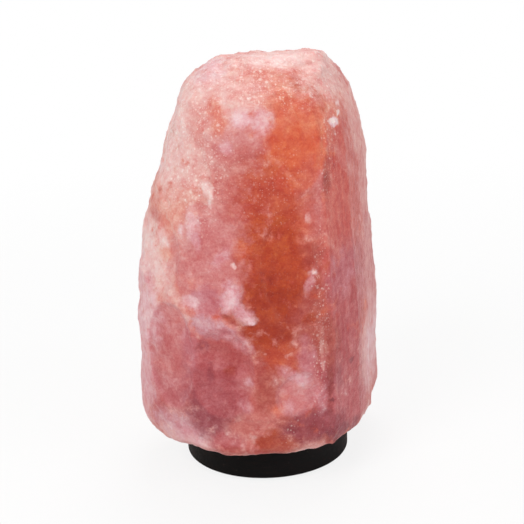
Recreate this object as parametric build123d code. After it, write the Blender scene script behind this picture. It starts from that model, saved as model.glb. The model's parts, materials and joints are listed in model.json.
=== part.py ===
from build123d import *
import math
import os

# Salt crystal lamp: a carved lump of rock salt screwed to a round wooden base,
# lit from a bore by a small screw bulb in a holder that slides out from below.
# Millimetres. +Z is up, the front is -Y. The origin is under the middle of the
# base, on the surface that the feet stand on, and the bulb's axis is +Z.

# ---- Driving dimensions ----

# Feet
FOOT_DIAMETER = 8.0
FOOT_HEIGHT = 2.0
FOOT_EDGE_ROUND = 1.0
FOOT_CIRCLE_RADIUS = 33.0
FOOT_COUNT = 4
FOOT_FIRST_ANGLE = 67.5

# Wooden base
BASE_DIAMETER = 100.0
BASE_THICKNESS = 23.0
BASE_LOWER_ROUND = 1.5
BASE_UPPER_ROUND = 1.2
RECESS_DIAMETER = 56.0
RECESS_DEPTH = 15.0
GROOVE_WIDTH = 9.6
GROOVE_HEIGHT = 11.6

# Screws that hold the crystal to the base
BASE_SCREW_COUNT = 4
BASE_SCREW_FIRST_ANGLE = 22.5
BASE_SCREW_CIRCLE_RADIUS = 38.0
BASE_SCREW_SHANK_DIAMETER = 4.0
BASE_SCREW_HEAD_DIAMETER = 7.8
BASE_SCREW_LENGTH = 42.0
BASE_SCREW_POINT = 5.0
BASE_SCREW_SLOT_WIDTH = 1.0
BASE_SCREW_SLOT_DEPTH = 1.2
SCREW_HOLE_CLEARANCE = 0.15

# Bore through the base and up into the crystal
BORE_DIAMETER = 44.0
BORE_DEPTH_IN_CRYSTAL = 115.0
BORE_END_ROUND = 4.0

# Crystal: overall size, then its shape as shares of that size
CRYSTAL_HEIGHT = 221.0
CRYSTAL_WIDTH = 146.8
CRYSTAL_DEPTH = 133.0

# Plan of the lump, seen from above. Each point gives the share of the reach to
# the left or right and the share of the reach to the front or back. The points
# run clockwise from the second arris on the right to the first one in front.
CRYSTAL_PLAN_ROUND = [
    (0.90, -0.12),
    (0.95, 0.20),
    (1.00, 0.62),
    (0.86, 0.88),
    (0.36, 0.99),
    (-0.18, 1.00),
    (-0.62, 0.80),
    (-0.90, 0.36),
    (-1.00, -0.30),
    (-0.90, -0.62),
    (-0.62, -0.88),
    (-0.24, -1.00),
    (0.20, -0.99),
    (0.56, -0.85),
]
# The two flat faces at the right of the front meet at this arris.
CRYSTAL_PLAN_ARRIS = (0.78, -0.53)

# Levels of the lump: height as a share of the crystal's height, reach to the
# left and right as shares of its width, and to front and back of its depth.
CRYSTAL_LEVELS = [
    (0.000, 0.415, 0.448, 0.480, 0.451),
    (0.030, 0.480, 0.486, 0.500, 0.474),
    (0.080, 0.503, 0.486, 0.503, 0.492),
    (0.200, 0.504, 0.484, 0.500, 0.496),
    (0.340, 0.497, 0.483, 0.489, 0.492),
    (0.480, 0.479, 0.466, 0.466, 0.470),
    (0.620, 0.433, 0.450, 0.436, 0.436),
    (0.760, 0.370, 0.436, 0.410, 0.387),
    (0.860, 0.321, 0.400, 0.376, 0.331),
    (0.920, 0.284, 0.356, 0.308, 0.274),
    (0.970, 0.222, 0.302, 0.195, 0.226),
    (1.000, 0.123, 0.245, 0.060, 0.158),
]

# Holder plate
PLATE_DIAMETER = 52.0
PLATE_THICKNESS = 1.0

# Holder sleeve
SLEEVE_DIAMETER = 25.6
SLEEVE_FLANGE_DIAMETER = 29.0
SLEEVE_FLANGE_THICKNESS = 2.5
SLEEVE_HEIGHT_ABOVE_PLATE = 29.0
SLEEVE_TOP_ROUND = 0.8
SLEEVE_CHAMBER_DIAMETER = 18.4
SLEEVE_CHAMBER_DEPTH = 11.5
SLEEVE_MOUTH_DIAMETER = 16.4

# Ring nut on the sleeve
NUT_DIAMETER = 33.0
NUT_HEIGHT = 5.0
NUT_GRIP_COUNT = 12
NUT_GRIP_DIAMETER = 2.4

# Terminal cap below the sleeve, with its cord inlet
CAP_HEIGHT = 9.0
CAP_WALL = 1.5
CAP_EDGE_ROUND = 0.7
CAP_POST_DIAMETER = 6.4
CAP_SCREW_SPACING = 22.0
CAP_SCREW_DIAMETER = 2.8
CAP_SCREW_HEAD_DIAMETER = 4.8
CAP_SCREW_HEAD_HEIGHT = 1.6
CAP_SCREW_GRIP = 7.0
CAP_SCREW_SLOT_WIDTH = 0.6
CAP_SCREW_SLOT_DEPTH = 0.7
INLET_HEIGHT = 4.6
INLET_REACH = 20.0
CORD_HOLE_DIAMETER = 5.6
BUSH_WALL = 0.7
BUSH_LIP = 1.2
INLET_WALL = 0.6

# Contacts and terminals
CARRIER_THICKNESS = 5.0
SHELL_HEIGHT = 19.0
SHELL_WALL = 0.55
SHELL_TAB_MARGIN = 1.6
SHELL_TAB_WIDTH = 4.6
CONTACT_THICKNESS = 0.4
CONTACT_WIDTH = 5.0
CONTACT_RISE = 2.5
CONTACT_FOOT_LENGTH = 3.2
TERMINAL_WIDTH = 4.4
TERMINAL_DEPTH = 5.0
TERMINAL_HEIGHT = 11.0
TERMINAL_SPACING = 10.4
WIRE_HOLE_DIAMETER = 2.4
WIRE_HOLE_DEPTH = 6.0
TERMINAL_SCREW_DIAMETER = 2.0
TERMINAL_SCREW_HEAD_DIAMETER = 3.4
TERMINAL_SCREW_HEAD_HEIGHT = 1.2
CONTACT_RIVET_DIAMETER = 1.6
CONTACT_RIVET_HEAD_DIAMETER = 2.6
CONTACT_RIVET_HEAD_HEIGHT = 0.5

# Spring clips
CLIP_COUNT = 3
CLIP_FIRST_ANGLE = 90.0
CLIP_WIDTH = 6.0
CLIP_THICKNESS = 0.5
CLIP_FOOT_INNER_RADIUS = 17.0
CLIP_FOOT_OUTER_RADIUS = 20.3
CLIP_BEND_RADIUS = 0.5
CLIP_CREST_HEIGHT = 27.0
CLIP_TIP_HEIGHT = 37.0
CLIP_TIP_DROP = 3.4
CLIP_RIVET_DIAMETER = 1.2
CLIP_RIVET_HEAD_DIAMETER = 2.2
CLIP_RIVET_HEAD_HEIGHT = 0.6

# Bulb
THREAD_RADIUS = 6.545
THREAD_OFFSET = 0.4
THREAD_PITCH = 2.822
BULB_TIP_DIAMETER = 4.8
BULB_TIP_HEIGHT = 0.8
BULB_TIP_ROUNDED_SHARE = 0.8
INSULATOR_HEIGHT = 3.2
INSULATOR_TOP_DIAMETER = 11.6
BULB_CAP_THREAD_HEIGHT = 13.0
BULB_CAP_SKIRT_HEIGHT = 5.0
BULB_CAP_SKIRT_DIAMETER = 14.0
BULB_CAP_BORE_DIAMETER = 11.0
BULB_NECK_INSERT = 11.0
BULB_GLASS_DIAMETER = 26.0
BULB_GLASS_HEIGHT = 38.0
BULB_GLASS_WALL = 0.7
STEM_DIAMETER = 4.0
STEM_HEIGHT = 20.0
STEM_FLARE_DIAMETER = 8.8
STEM_FLARE_HEIGHT = 2.5
LEAD_DIAMETER = 0.6
LEAD_HEIGHT = 9.0
LEAD_SPREAD = 5.5
FILAMENT_DIAMETER = 0.4
FILAMENT_SAG = 3.0

# Clearances
FIT_CLEARANCE = 0.1
THREAD_CLEARANCE = 0.3
CLIP_CLEARANCE = 0.3
RIVET_PLAY = 0.35

# ---- Heights and radii worked out from them ----

BASE_BOTTOM = FOOT_HEIGHT
BASE_TOP = BASE_BOTTOM + BASE_THICKNESS
RECESS_CEILING = BASE_BOTTOM + RECESS_DEPTH
BORE_TOP = BASE_TOP + BORE_DEPTH_IN_CRYSTAL
BORE_RADIUS = BORE_DIAMETER / 2

PLATE_TOP = RECESS_CEILING
PLATE_BOTTOM = PLATE_TOP - PLATE_THICKNESS
FLANGE_BOTTOM = PLATE_BOTTOM - SLEEVE_FLANGE_THICKNESS
SLEEVE_TOP = PLATE_TOP + SLEEVE_HEIGHT_ABOVE_PLATE
CARRIER_TOP = FLANGE_BOTTOM + SLEEVE_CHAMBER_DEPTH
CARRIER_BOTTOM = CARRIER_TOP - CARRIER_THICKNESS
CAP_BOTTOM = FLANGE_BOTTOM - CAP_HEIGHT
INLET_LEVEL = CAP_BOTTOM + INLET_HEIGHT

CONTACT_TOP = CARRIER_TOP + CONTACT_THICKNESS + CONTACT_RISE
BULB_TIP_LEVEL = CONTACT_TOP + FIT_CLEARANCE
INSULATOR_BOTTOM = BULB_TIP_LEVEL + BULB_TIP_HEIGHT
BULB_CAP_BOTTOM = INSULATOR_BOTTOM + INSULATOR_HEIGHT
BULB_SKIRT_BOTTOM = BULB_CAP_BOTTOM + BULB_CAP_THREAD_HEIGHT
BULB_CAP_TOP = BULB_SKIRT_BOTTOM + BULB_CAP_SKIRT_HEIGHT
BULB_TOP = BULB_CAP_TOP + BULB_GLASS_HEIGHT
BULB_NECK_BOTTOM = BULB_CAP_TOP - BULB_NECK_INSERT
BULB_NECK_RADIUS = BULB_CAP_BORE_DIAMETER / 2 - FIT_CLEARANCE

BUSH_RADIUS = CORD_HOLE_DIAMETER / 2 + BUSH_WALL
INLET_BORE_RADIUS = BUSH_RADIUS + FIT_CLEARANCE
INLET_RADIUS = INLET_BORE_RADIUS + INLET_WALL

# A flat strip touches a round bore at its two edges, so its face lies deeper.
CLIP_CREST_RADIUS = math.sqrt((BORE_RADIUS - CLIP_CLEARANCE) ** 2 - (CLIP_WIDTH / 2) ** 2)

# How far cutting tools run past the faces that they cut.
OVERRUN = 1.0


def cylinder(radius, bottom, top):
    """Upright cylinder on the bulb's axis between two heights."""
    return Pos(0, 0, bottom) * Cylinder(radius, top - bottom, align=(Align.CENTER, Align.CENTER, Align.MIN))


def tube(outer, inner, bottom, top):
    """Upright tube on the bulb's axis between two heights."""
    return cylinder(outer, bottom, top) - cylinder(inner, bottom - OVERRUN, top + OVERRUN)


def block(x_size, y_size, bottom, top):
    """Upright block on the bulb's axis between two heights."""
    return Pos(0, 0, bottom) * Box(x_size, y_size, top - bottom, align=(Align.CENTER, Align.CENTER, Align.MIN))


def around(shape, count, first_angle, radius):
    """Copies of a shape set out on a circle about the bulb's axis."""
    step = 360 / count
    return [Rot(0, 0, first_angle + i * step) * Pos(radius, 0, 0) * shape for i in range(count)]


def spun(points):
    """Solid turned about the bulb's axis from an outline of (radius, height) points."""
    outline = make_face(Polyline(*[(r, 0, z) for r, z in points], close=True))
    return revolve(outline, Axis.Z)


def threaded_core(radius, bottom, top):
    """Right-handed round thread: a circle set off the axis that turns once in each pitch."""
    turned = 360 / THREAD_PITCH
    rise = top - bottom
    ring = Wire([Edge.make_circle(radius, Plane((THREAD_OFFSET, 0, 0)))])
    core = Solid.extrude_linear_with_rotation(ring, (0, 0, 0), (0, 0, rise), turned * rise)
    return Pos(0, 0, bottom) * Rot(0, 0, turned * bottom) * core


# ---- Crystal, base and what holds them together ----


def crystal_section(level):
    """Outline of the lump at one level: a round back and left, and two flat faces at the right."""
    height, left, right, front, back = level
    z = BASE_TOP + height * CRYSTAL_HEIGHT

    def place(share_x, share_y):
        reach_x = (right if share_x > 0 else left) * CRYSTAL_WIDTH
        reach_y = (back if share_y > 0 else front) * CRYSTAL_DEPTH
        return (share_x * reach_x, share_y * reach_y, z)

    round_side = [place(*point) for point in CRYSTAL_PLAN_ROUND]
    arris = place(*CRYSTAL_PLAN_ARRIS)
    edges = [
        Edge.make_spline([Vector(*point) for point in round_side]),
        Edge.make_line(round_side[-1], arris),
        Edge.make_line(arris, round_side[0]),
    ]
    return Face(Wire(edges))


def salt_crystal():
    lump = Solid.make_loft([crystal_section(level).outer_wire() for level in CRYSTAL_LEVELS])
    bore = cylinder(BORE_RADIUS, BASE_TOP - OVERRUN, BORE_TOP)
    bore = fillet(bore.edges().group_by(Axis.Z)[-1], BORE_END_ROUND)
    pilot_radius = BASE_SCREW_SHANK_DIAMETER / 2 + SCREW_HOLE_CLEARANCE
    pilot = cylinder(pilot_radius, BASE_TOP - OVERRUN, BASE_BOTTOM + BASE_SCREW_LENGTH + OVERRUN)
    pilots = around(pilot, BASE_SCREW_COUNT, BASE_SCREW_FIRST_ANGLE, BASE_SCREW_CIRCLE_RADIUS)
    return Part(lump.wrapped) - bore - pilots


def wooden_base():
    disc = cylinder(BASE_DIAMETER / 2, BASE_BOTTOM, BASE_TOP)
    disc = fillet(disc.edges().group_by(Axis.Z)[0], BASE_LOWER_ROUND)
    disc = fillet(disc.edges().group_by(Axis.Z)[-1], BASE_UPPER_ROUND)
    disc -= cylinder(BORE_RADIUS, BASE_BOTTOM - OVERRUN, BASE_TOP + OVERRUN)
    disc -= cylinder(RECESS_DIAMETER / 2, BASE_BOTTOM - OVERRUN, RECESS_CEILING)
    groove_length = BASE_DIAMETER / 2 + OVERRUN
    groove = block(GROOVE_WIDTH, groove_length, BASE_BOTTOM - OVERRUN, BASE_BOTTOM + GROOVE_HEIGHT)
    disc -= Pos(0, groove_length / 2, 0) * groove
    hole = base_screw_form(SCREW_HOLE_CLEARANCE)
    return disc - around(hole, BASE_SCREW_COUNT, BASE_SCREW_FIRST_ANGLE, BASE_SCREW_CIRCLE_RADIUS)


def base_screw_form(clearance):
    """Countersunk screw, or with a clearance the hole for it, head down at the base's underside."""
    shank = BASE_SCREW_SHANK_DIAMETER / 2 + clearance
    head = BASE_SCREW_HEAD_DIAMETER / 2 + clearance
    low = BASE_BOTTOM + (0 if clearance else SCREW_HOLE_CLEARANCE)
    neck = BASE_BOTTOM + BASE_SCREW_HEAD_DIAMETER / 2 - BASE_SCREW_SHANK_DIAMETER / 2
    tip = BASE_BOTTOM + BASE_SCREW_LENGTH
    return spun([(0, low), (head, low), (shank, neck), (shank, tip - BASE_SCREW_POINT), (0, tip)])


def base_screws():
    screw = base_screw_form(0)
    slot_top = BASE_BOTTOM + SCREW_HOLE_CLEARANCE + BASE_SCREW_SLOT_DEPTH
    slot_bottom = BASE_BOTTOM - OVERRUN
    screw -= block(BASE_SCREW_HEAD_DIAMETER, BASE_SCREW_SLOT_WIDTH, slot_bottom, slot_top)
    screw -= block(BASE_SCREW_SLOT_WIDTH, BASE_SCREW_HEAD_DIAMETER, slot_bottom, slot_top)
    return around(screw, BASE_SCREW_COUNT, BASE_SCREW_FIRST_ANGLE, BASE_SCREW_CIRCLE_RADIUS)


def rubber_feet():
    foot = cylinder(FOOT_DIAMETER / 2, 0, FOOT_HEIGHT)
    foot = fillet(foot.edges().group_by(Axis.Z)[0], FOOT_EDGE_ROUND)
    return around(foot, FOOT_COUNT, FOOT_FIRST_ANGLE, FOOT_CIRCLE_RADIUS)


# ---- Holder that slides into the bore from below ----


def clip_bend_start():
    """Distance from the bulb's axis at which a clip's flat foot turns upwards."""
    return CLIP_FOOT_OUTER_RADIUS - CLIP_THICKNESS - CLIP_BEND_RADIUS


def clip_rivet_radius():
    """The clip rivets stand in the middle of the flat part of the clip's foot."""
    return (CLIP_FOOT_INNER_RADIUS + clip_bend_start()) / 2


def holder_plate():
    plate = tube(PLATE_DIAMETER / 2, SLEEVE_DIAMETER / 2 + FIT_CLEARANCE, PLATE_BOTTOM, PLATE_TOP)
    hole_radius = CLIP_RIVET_DIAMETER / 2 + RIVET_PLAY
    hole = cylinder(hole_radius, PLATE_BOTTOM - OVERRUN, PLATE_TOP + OVERRUN)
    return plate - around(hole, CLIP_COUNT, CLIP_FIRST_ANGLE, clip_rivet_radius())


def holder_sleeve():
    body = cylinder(SLEEVE_DIAMETER / 2, FLANGE_BOTTOM, SLEEVE_TOP)
    body = fillet(body.edges().group_by(Axis.Z)[-1], SLEEVE_TOP_ROUND)
    body += cylinder(SLEEVE_FLANGE_DIAMETER / 2, FLANGE_BOTTOM, PLATE_BOTTOM)
    body -= cylinder(SLEEVE_CHAMBER_DIAMETER / 2, FLANGE_BOTTOM - OVERRUN, CARRIER_TOP)
    body -= cylinder(SLEEVE_MOUTH_DIAMETER / 2, CARRIER_TOP - OVERRUN, SLEEVE_TOP + OVERRUN)
    pilot_radius = CAP_SCREW_DIAMETER / 2 + FIT_CLEARANCE
    pilot = cylinder(pilot_radius, FLANGE_BOTTOM - OVERRUN, FLANGE_BOTTOM + CAP_SCREW_GRIP + OVERRUN)
    return body - around(pilot, 2, 0, CAP_SCREW_SPACING / 2)


def ring_nut():
    nut = tube(NUT_DIAMETER / 2, SLEEVE_DIAMETER / 2 + FIT_CLEARANCE, PLATE_TOP, PLATE_TOP + NUT_HEIGHT)
    grip = cylinder(NUT_GRIP_DIAMETER / 2, PLATE_TOP - OVERRUN, PLATE_TOP + NUT_HEIGHT + OVERRUN)
    return nut - around(grip, NUT_GRIP_COUNT, 0, NUT_DIAMETER / 2)


def along_y(radius, start, end):
    """Cylinder along Y at the height of the cord inlet."""
    rod = Cylinder(radius, end - start, align=(Align.CENTER, Align.CENTER, Align.MIN))
    return Pos(0, start, INLET_LEVEL) * Rot(-90, 0, 0) * rod


def terminal_cap():
    outer = SLEEVE_FLANGE_DIAMETER / 2
    inner = outer - CAP_WALL
    cup = cylinder(outer, CAP_BOTTOM, FLANGE_BOTTOM)
    cup = fillet(cup.edges().group_by(Axis.Z)[0], CAP_EDGE_ROUND)
    cup -= cylinder(inner, CAP_BOTTOM + CAP_WALL, FLANGE_BOTTOM + OVERRUN)
    post = cylinder(CAP_POST_DIAMETER / 2, CAP_BOTTOM + CAP_EDGE_ROUND, FLANGE_BOTTOM)
    cup += around(post, 2, 0, CAP_SCREW_SPACING / 2)
    cup += along_y(INLET_RADIUS, inner + CAP_WALL / 2, INLET_REACH)
    cup -= along_y(INLET_BORE_RADIUS, inner - CAP_WALL, INLET_REACH + OVERRUN)
    head_top = CAP_BOTTOM + CAP_SCREW_HEAD_HEIGHT + FIT_CLEARANCE
    head = cylinder(CAP_SCREW_HEAD_DIAMETER / 2 + FIT_CLEARANCE, CAP_BOTTOM - OVERRUN, head_top)
    shank = cylinder(CAP_SCREW_DIAMETER / 2 + FIT_CLEARANCE, CAP_BOTTOM, FLANGE_BOTTOM + OVERRUN)
    return cup - around(head + shank, 2, 0, CAP_SCREW_SPACING / 2)


def cap_screws():
    bottom = CAP_BOTTOM + FIT_CLEARANCE
    head = cylinder(CAP_SCREW_HEAD_DIAMETER / 2, bottom, bottom + CAP_SCREW_HEAD_HEIGHT)
    slot_top = bottom + CAP_SCREW_SLOT_DEPTH
    head -= block(CAP_SCREW_HEAD_DIAMETER + OVERRUN, CAP_SCREW_SLOT_WIDTH, bottom - OVERRUN, slot_top)
    screw = head + cylinder(CAP_SCREW_DIAMETER / 2, slot_top, FLANGE_BOTTOM + CAP_SCREW_GRIP)
    return around(screw, 2, 0, CAP_SCREW_SPACING / 2)


def cord_bush():
    inner = SLEEVE_FLANGE_DIAMETER / 2 - CAP_WALL
    sleeve = along_y(BUSH_RADIUS, inner, INLET_REACH)
    lip = along_y(INLET_RADIUS, INLET_REACH, INLET_REACH + BUSH_LIP)
    return sleeve + lip - along_y(CORD_HOLE_DIAMETER / 2, inner - OVERRUN, INLET_REACH + BUSH_LIP + OVERRUN)


# ---- Contacts and terminals ----


def shell_bore_radius():
    return THREAD_RADIUS + THREAD_CLEARANCE


def shell_radius():
    return shell_bore_radius() + THREAD_OFFSET + SHELL_WALL


def shell_clear_radius():
    """Radius that the crests of the shell's thread leave free."""
    return shell_bore_radius() - THREAD_OFFSET - FIT_CLEARANCE


def shell_rivet_x():
    """The rivet through the shell's tab stands as near the thread as its head allows."""
    return shell_clear_radius() - CONTACT_RIVET_HEAD_DIAMETER / 2


def contact_foot_start():
    """The outer corners of the tongue's foot keep clear of the shell's thread."""
    return -math.sqrt(shell_clear_radius() ** 2 - (CONTACT_WIDTH / 2) ** 2)


def contact_rivet_x():
    """The tongue's rivet stands in the middle of the tongue's foot."""
    return contact_foot_start() + CONTACT_FOOT_LENGTH / 2


def contact_carrier():
    disc = cylinder(SLEEVE_CHAMBER_DIAMETER / 2 - FIT_CLEARANCE, CARRIER_BOTTOM, CARRIER_TOP)
    hole_radius = CONTACT_RIVET_DIAMETER / 2 + FIT_CLEARANCE
    hole = cylinder(hole_radius, CARRIER_BOTTOM - OVERRUN, CARRIER_TOP + OVERRUN)
    disc -= [Pos(x, 0, 0) * hole for x in (shell_rivet_x(), contact_rivet_x())]
    pilot_radius = CAP_SCREW_DIAMETER / 2 + FIT_CLEARANCE
    pilot = cylinder(pilot_radius, CARRIER_BOTTOM - OVERRUN, CARRIER_TOP + OVERRUN)
    return disc - around(pilot, 2, 0, CAP_SCREW_SPACING / 2)


def screw_shell():
    top = CARRIER_TOP + SHELL_HEIGHT
    shell = cylinder(shell_radius(), CARRIER_TOP, top)
    shell -= threaded_core(shell_bore_radius(), CARRIER_TOP - OVERRUN, top + OVERRUN)
    tab_end = shell_rivet_x() - SHELL_TAB_MARGIN
    tab_length = shell_radius() - SHELL_WALL / 2 - tab_end
    tab = block(tab_length, SHELL_TAB_WIDTH, CARRIER_TOP, CARRIER_TOP + CONTACT_THICKNESS)
    shell += Pos(tab_end + tab_length / 2, 0, 0) * tab
    hole_top = CARRIER_TOP + CONTACT_THICKNESS + OVERRUN
    hole = cylinder(CONTACT_RIVET_DIAMETER / 2 + FIT_CLEARANCE, CARRIER_TOP - OVERRUN, hole_top)
    return shell - Pos(shell_rivet_x(), 0, 0) * hole


def centre_contact():
    foot_start = contact_foot_start()
    foot_end = foot_start + CONTACT_FOOT_LENGTH
    pad = BULB_TIP_DIAMETER / 2
    rise_end = -pad / 2
    low = CARRIER_TOP
    high = CARRIER_TOP + CONTACT_RISE
    thick = CONTACT_THICKNESS
    outline = [
        (foot_start, low),
        (foot_end, low),
        (rise_end, high),
        (pad, high),
        (pad, high + thick),
        (rise_end - thick / 2, high + thick),
        (foot_end - thick / 2, low + thick),
        (foot_start, low + thick),
    ]
    side = make_face(Polyline(*[(x, 0, z) for x, z in outline], close=True))
    tongue = extrude(side, CONTACT_WIDTH / 2, dir=(0, 1, 0), both=True)
    hole_radius = CONTACT_RIVET_DIAMETER / 2 + FIT_CLEARANCE
    hole = cylinder(hole_radius, low - OVERRUN, low + thick + OVERRUN)
    return tongue - Pos(contact_rivet_x(), 0, 0) * hole


def contact_rivets():
    head_bottom = CARRIER_TOP + CONTACT_THICKNESS
    head = cylinder(CONTACT_RIVET_HEAD_DIAMETER / 2, head_bottom, head_bottom + CONTACT_RIVET_HEAD_HEIGHT)
    rivet = head + cylinder(CONTACT_RIVET_DIAMETER / 2, CARRIER_BOTTOM, head_bottom)
    return [Pos(x, 0, 0) * rivet for x in (shell_rivet_x(), contact_rivet_x())]


def terminal_screw_level():
    """Height of the terminal screws: beside the middle of the wire hole."""
    return CARRIER_BOTTOM - TERMINAL_HEIGHT + WIRE_HOLE_DEPTH / 2


def terminal_screw_rod(radius, start, end):
    rod = Cylinder(radius, end - start, align=(Align.CENTER, Align.CENTER, Align.MIN))
    return Pos(0, start, terminal_screw_level()) * Rot(-90, 0, 0) * rod


def terminal_blocks():
    bottom = CARRIER_BOTTOM - TERMINAL_HEIGHT
    body = block(TERMINAL_WIDTH, TERMINAL_DEPTH, bottom, CARRIER_BOTTOM)
    body -= cylinder(WIRE_HOLE_DIAMETER / 2, bottom - OVERRUN, bottom + WIRE_HOLE_DEPTH)
    radius = TERMINAL_SCREW_DIAMETER / 2 + FIT_CLEARANCE
    body -= terminal_screw_rod(radius, -TERMINAL_DEPTH / 2 - OVERRUN, 0)
    return [Pos(x * TERMINAL_SPACING / 2, 0, 0) * body for x in (-1, 1)]


def terminal_screws():
    face = -TERMINAL_DEPTH / 2
    head_start = face - TERMINAL_SCREW_HEAD_HEIGHT
    head = terminal_screw_rod(TERMINAL_SCREW_HEAD_DIAMETER / 2, head_start, face)
    screw = head + terminal_screw_rod(TERMINAL_SCREW_DIAMETER / 2, face, -WIRE_HOLE_DIAMETER / 2)
    return [Pos(x * TERMINAL_SPACING / 2, 0, 0) * screw for x in (-1, 1)]


# ---- Spring clips ----


def clip_face(depth):
    """One face of a clip in (distance from the axis, height), a given depth outside its inner face."""
    foot_level = PLATE_TOP + CLIP_THICKNESS
    bend_start = clip_bend_start()
    bend_radius = CLIP_BEND_RADIUS + depth
    corner = math.sin(math.pi / 4)
    foot_end = (bend_start, foot_level - depth)
    bend_middle = (bend_start + bend_radius * corner, foot_level + CLIP_BEND_RADIUS - bend_radius * corner)
    bend_end = (bend_start + bend_radius, foot_level + CLIP_BEND_RADIUS)
    crest_radius = CLIP_CREST_RADIUS - CLIP_THICKNESS
    crest = (crest_radius + depth, PLATE_TOP + CLIP_CREST_HEIGHT)
    tip = (crest_radius - CLIP_TIP_DROP + depth * corner, PLATE_TOP + CLIP_TIP_HEIGHT + depth * corner)
    foot = Line((CLIP_FOOT_INNER_RADIUS, foot_level - depth), foot_end)
    bend = ThreePointArc(foot_end, bend_middle, bend_end)
    bow = Spline(bend_end, crest, tip, tangents=[(0, 1), (-1, 1)])
    return [foot, bend, bow]


def spring_clip():
    inner = clip_face(0)
    outer = clip_face(CLIP_THICKNESS)
    foot_edge = Line(inner[0] @ 0, outer[0] @ 0)
    tip_edge = Line(inner[-1] @ 1, outer[-1] @ 1)
    side = Plane.XZ * make_face(inner + outer + [foot_edge, tip_edge])
    clip = extrude(side, CLIP_WIDTH / 2, both=True)
    hole_radius = CLIP_RIVET_DIAMETER / 2 + FIT_CLEARANCE
    hole = cylinder(hole_radius, PLATE_TOP - OVERRUN, PLATE_TOP + CLIP_THICKNESS + OVERRUN)
    return clip - Pos(clip_rivet_radius(), 0, 0) * hole


def clip_rivet():
    """Loose rivet: it lets the clip rock on the plate, so its lower head stands off a little."""
    top = PLATE_TOP + CLIP_THICKNESS
    bottom = PLATE_BOTTOM - RIVET_PLAY
    head = CLIP_RIVET_HEAD_DIAMETER / 2
    rivet = cylinder(CLIP_RIVET_DIAMETER / 2, bottom, top)
    rivet += cylinder(head, top, top + CLIP_RIVET_HEAD_HEIGHT)
    rivet += cylinder(head, bottom - CLIP_RIVET_HEAD_HEIGHT, bottom)
    return Pos(clip_rivet_radius(), 0, 0) * rivet


# ---- Bulb ----


def bulb_cap():
    body = threaded_core(THREAD_RADIUS, BULB_CAP_BOTTOM, BULB_SKIRT_BOTTOM)
    body += cylinder(BULB_CAP_SKIRT_DIAMETER / 2, BULB_SKIRT_BOTTOM, BULB_CAP_TOP)
    return body - cylinder(BULB_CAP_BORE_DIAMETER / 2, BULB_CAP_BOTTOM - OVERRUN, BULB_CAP_TOP + OVERRUN)


def bulb_insulator():
    top = BULB_CAP_BOTTOM - FIT_CLEARANCE
    low_radius = BULB_TIP_DIAMETER / 2
    return spun([
        (0, INSULATOR_BOTTOM),
        (low_radius, INSULATOR_BOTTOM),
        (INSULATOR_TOP_DIAMETER / 2, top),
        (0, top),
    ])


def bulb_tip():
    tip = cylinder(BULB_TIP_DIAMETER / 2, BULB_TIP_LEVEL, INSULATOR_BOTTOM)
    return fillet(tip.edges().group_by(Axis.Z)[0], BULB_TIP_HEIGHT * BULB_TIP_ROUNDED_SHARE)


def bulb_outline(inset):
    """Half outline of the glass, moved inwards by the inset."""
    neck = BULB_NECK_RADIUS - inset
    belly = BULB_GLASS_DIAMETER / 2 - inset
    belly_level = BULB_TOP - BULB_GLASS_DIAMETER / 2
    top = BULB_TOP - inset
    low = BULB_NECK_BOTTOM - (OVERRUN if inset else 0)
    stem = Line((neck, 0, low), (neck, 0, BULB_CAP_TOP))
    shoulder = Spline(
        (neck, 0, BULB_CAP_TOP),
        (belly, 0, belly_level),
        tangents=[(0, 0, 1), (0, 0, 1)],
    )
    middle = (belly * math.sin(math.pi / 4), 0, belly_level + (top - belly_level) * math.sin(math.pi / 4))
    dome = ThreePointArc((belly, 0, belly_level), middle, (0, 0, top))
    axis = Line((0, 0, top), (0, 0, low))
    close = Line((0, 0, low), (neck, 0, low))
    return make_face([stem, shoulder, dome, axis, close])


def bulb_glass():
    return revolve(bulb_outline(0), Axis.Z) - revolve(bulb_outline(BULB_GLASS_WALL), Axis.Z)


def stem_top():
    return BULB_NECK_BOTTOM + STEM_HEIGHT


def bulb_stem():
    flare = STEM_FLARE_DIAMETER / 2
    narrow = STEM_DIAMETER / 2
    return spun([
        (0, BULB_NECK_BOTTOM),
        (flare, BULB_NECK_BOTTOM),
        (narrow, BULB_NECK_BOTTOM + STEM_FLARE_HEIGHT),
        (narrow, stem_top()),
        (0, stem_top()),
    ])


def bulb_leads():
    root = STEM_DIAMETER / 4
    leads = []
    for side in (-1, 1):
        start = (side * root, 0, stem_top() + LEAD_DIAMETER / 2)
        path = Line(start, (side * LEAD_SPREAD, 0, stem_top() + LEAD_HEIGHT))
        end = Plane(origin=path @ 0, z_dir=path % 0)
        leads.append(sweep(end * Circle(LEAD_DIAMETER / 2), path=path))
    return leads


def bulb_filament():
    """The filament hangs in a shallow bow between the tops of the two leads."""
    level = stem_top() + LEAD_HEIGHT + LEAD_DIAMETER / 2 + FILAMENT_DIAMETER / 2
    bow = ThreePointArc((-LEAD_SPREAD, 0, level), (0, 0, level + FILAMENT_SAG), (LEAD_SPREAD, 0, level))
    end = Plane(origin=bow @ 0, z_dir=bow % 0)
    return sweep(end * Circle(FILAMENT_DIAMETER / 2), path=bow)


# ---- Export ----


def solids_in(shape):
    """Every solid of a shape or of a list of shapes."""
    shapes = shape if isinstance(shape, list) else [shape]
    return [solid for item in shapes for solid in item.solids()]


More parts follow.
